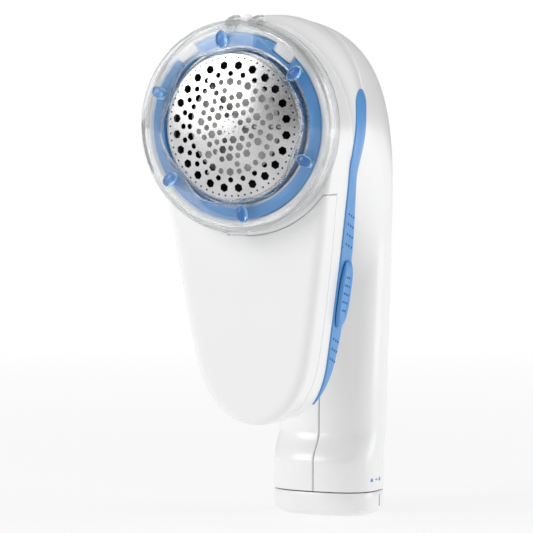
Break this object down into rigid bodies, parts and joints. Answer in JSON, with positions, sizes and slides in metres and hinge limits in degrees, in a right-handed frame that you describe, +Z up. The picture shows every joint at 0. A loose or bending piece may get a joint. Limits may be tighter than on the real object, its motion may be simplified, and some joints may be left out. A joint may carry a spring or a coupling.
{
  "type": "fabric shaver",
  "caption": "Hand-held battery fabric shaver: round shaving head behind a clear hinged guard, long lint bin below it, arched back and upright battery handle.",
  "frame": {"origin": "middle of the battery cap's flat base", "axes": "+Z up the handle, -Y out of the shaving head, +X to the right of someone looking at the head"},
  "size_m": [0.091, 0.1259, 0.2246],
  "materials": {
    "white_body": "glossy white moulded plastic",
    "inner_plastic": "plain off-white moulding",
    "blue_plastic": "satin mid-blue moulded plastic",
    "clear_plastic": "clear moulded plastic",
    "foil_steel": "bright perforated steel foil",
    "blade_steel": "ground steel",
    "plated_steel": "zinc plated",
    "contact_brass": "plain brass sheet",
    "dark_plastic": "dark grey moulding",
    "black_plastic": "black moulding and wire jacket",
    "red_wire": "red wire jacket",
    "cell_jacket": "plain dark green cell jacket"
  },
  "bodies": {
    "case": {"front_housing": "white_body", "left_shell": "white_body", "right_shell": "white_body", "lint_chute": "inner_plastic", "inner_plate": "inner_plastic", "head_collar": "white_body", "foil_ring": "blue_plastic", "foil_screen": "foil_steel", "guard_hinge_pin": "white_body", "cutter_bowl": "dark_plastic", "motor_front_bush": "contact_brass", "motor_can": "plated_steel", "motor_end_cap": "black_plastic", "motor_terminal_left": "contact_brass", "motor_terminal_right": "contact_brass", "motor_screw_left": "plated_steel", "motor_screw_right": "plated_steel", "plate_screw_1": "plated_steel", "plate_screw_2": "plated_steel", "plate_screw_3": "plated_steel", "plate_screw_4": "plated_steel", "motor_cradle": "inner_plastic", "grip_trim_left": "blue_plastic", "grip_trim_right": "blue_plastic", "slide_switch": "dark_plastic", "battery_lower": "cell_jacket", "battery_upper": "cell_jacket", "top_contact_plate": "contact_brass", "contact_strip": "contact_brass", "case_screw_1": "plated_steel", "case_screw_2": "plated_steel", "case_screw_3": "plated_steel", "wire_motor_to_switch": "red_wire", "wire_switch_to_battery": "red_wire", "wire_motor_to_strip": "black_plastic"},
    "guard": {"clear_guard": "clear_plastic"},
    "bin": {"lint_bin": "white_body"},
    "cutter_drive": {"motor_shaft": "plated_steel", "fan_wheel": "dark_plastic", "cutter_spring": "plated_steel"},
    "cutter_head": {"cutter_hub": "inner_plastic", "cutter_blade_1": "blade_steel", "cutter_blade_2": "blade_steel", "cutter_blade_3": "blade_steel"},
    "power_slide": {"switch_knob": "blue_plastic", "switch_slider": "inner_plastic"},
    "cap": {"battery_cap": "white_body", "cap_contact_plate": "contact_brass", "cap_contact_spring": "plated_steel"}
  },
  "joints": [
    {"name": "guard_flip", "type": "hinge", "parent": "case", "child": "guard", "pos_m": [0, -0.0826, 0.2223], "axis": [-1, 0, 0], "range_deg": [0, 75]},
    {"name": "bin_pull", "type": "slide", "parent": "case", "child": "bin", "axis": [0, -1, 0], "range_m": [0, 0.035]},
    {"name": "cutter_spin", "type": "hinge", "parent": "case", "child": "cutter_drive", "pos_m": [0, -0.08, 0.1765], "axis": [0, -1, 0], "continuous": true},
    {"name": "cutter_float", "type": "slide", "parent": "cutter_drive", "child": "cutter_head", "axis": [0, 1, 0], "range_m": [0, 0.0008]},
    {"name": "switch_slide", "type": "slide", "parent": "case", "child": "power_slide", "axis": [0.137, 0, 0.9906], "range_m": [0, 0.004]},
    {"name": "cap_twist", "type": "hinge", "parent": "case", "child": "cap", "pos_m": [0, 0, 0], "axis": [0, 0, 1], "range_deg": [0, 20]}
  ]
}
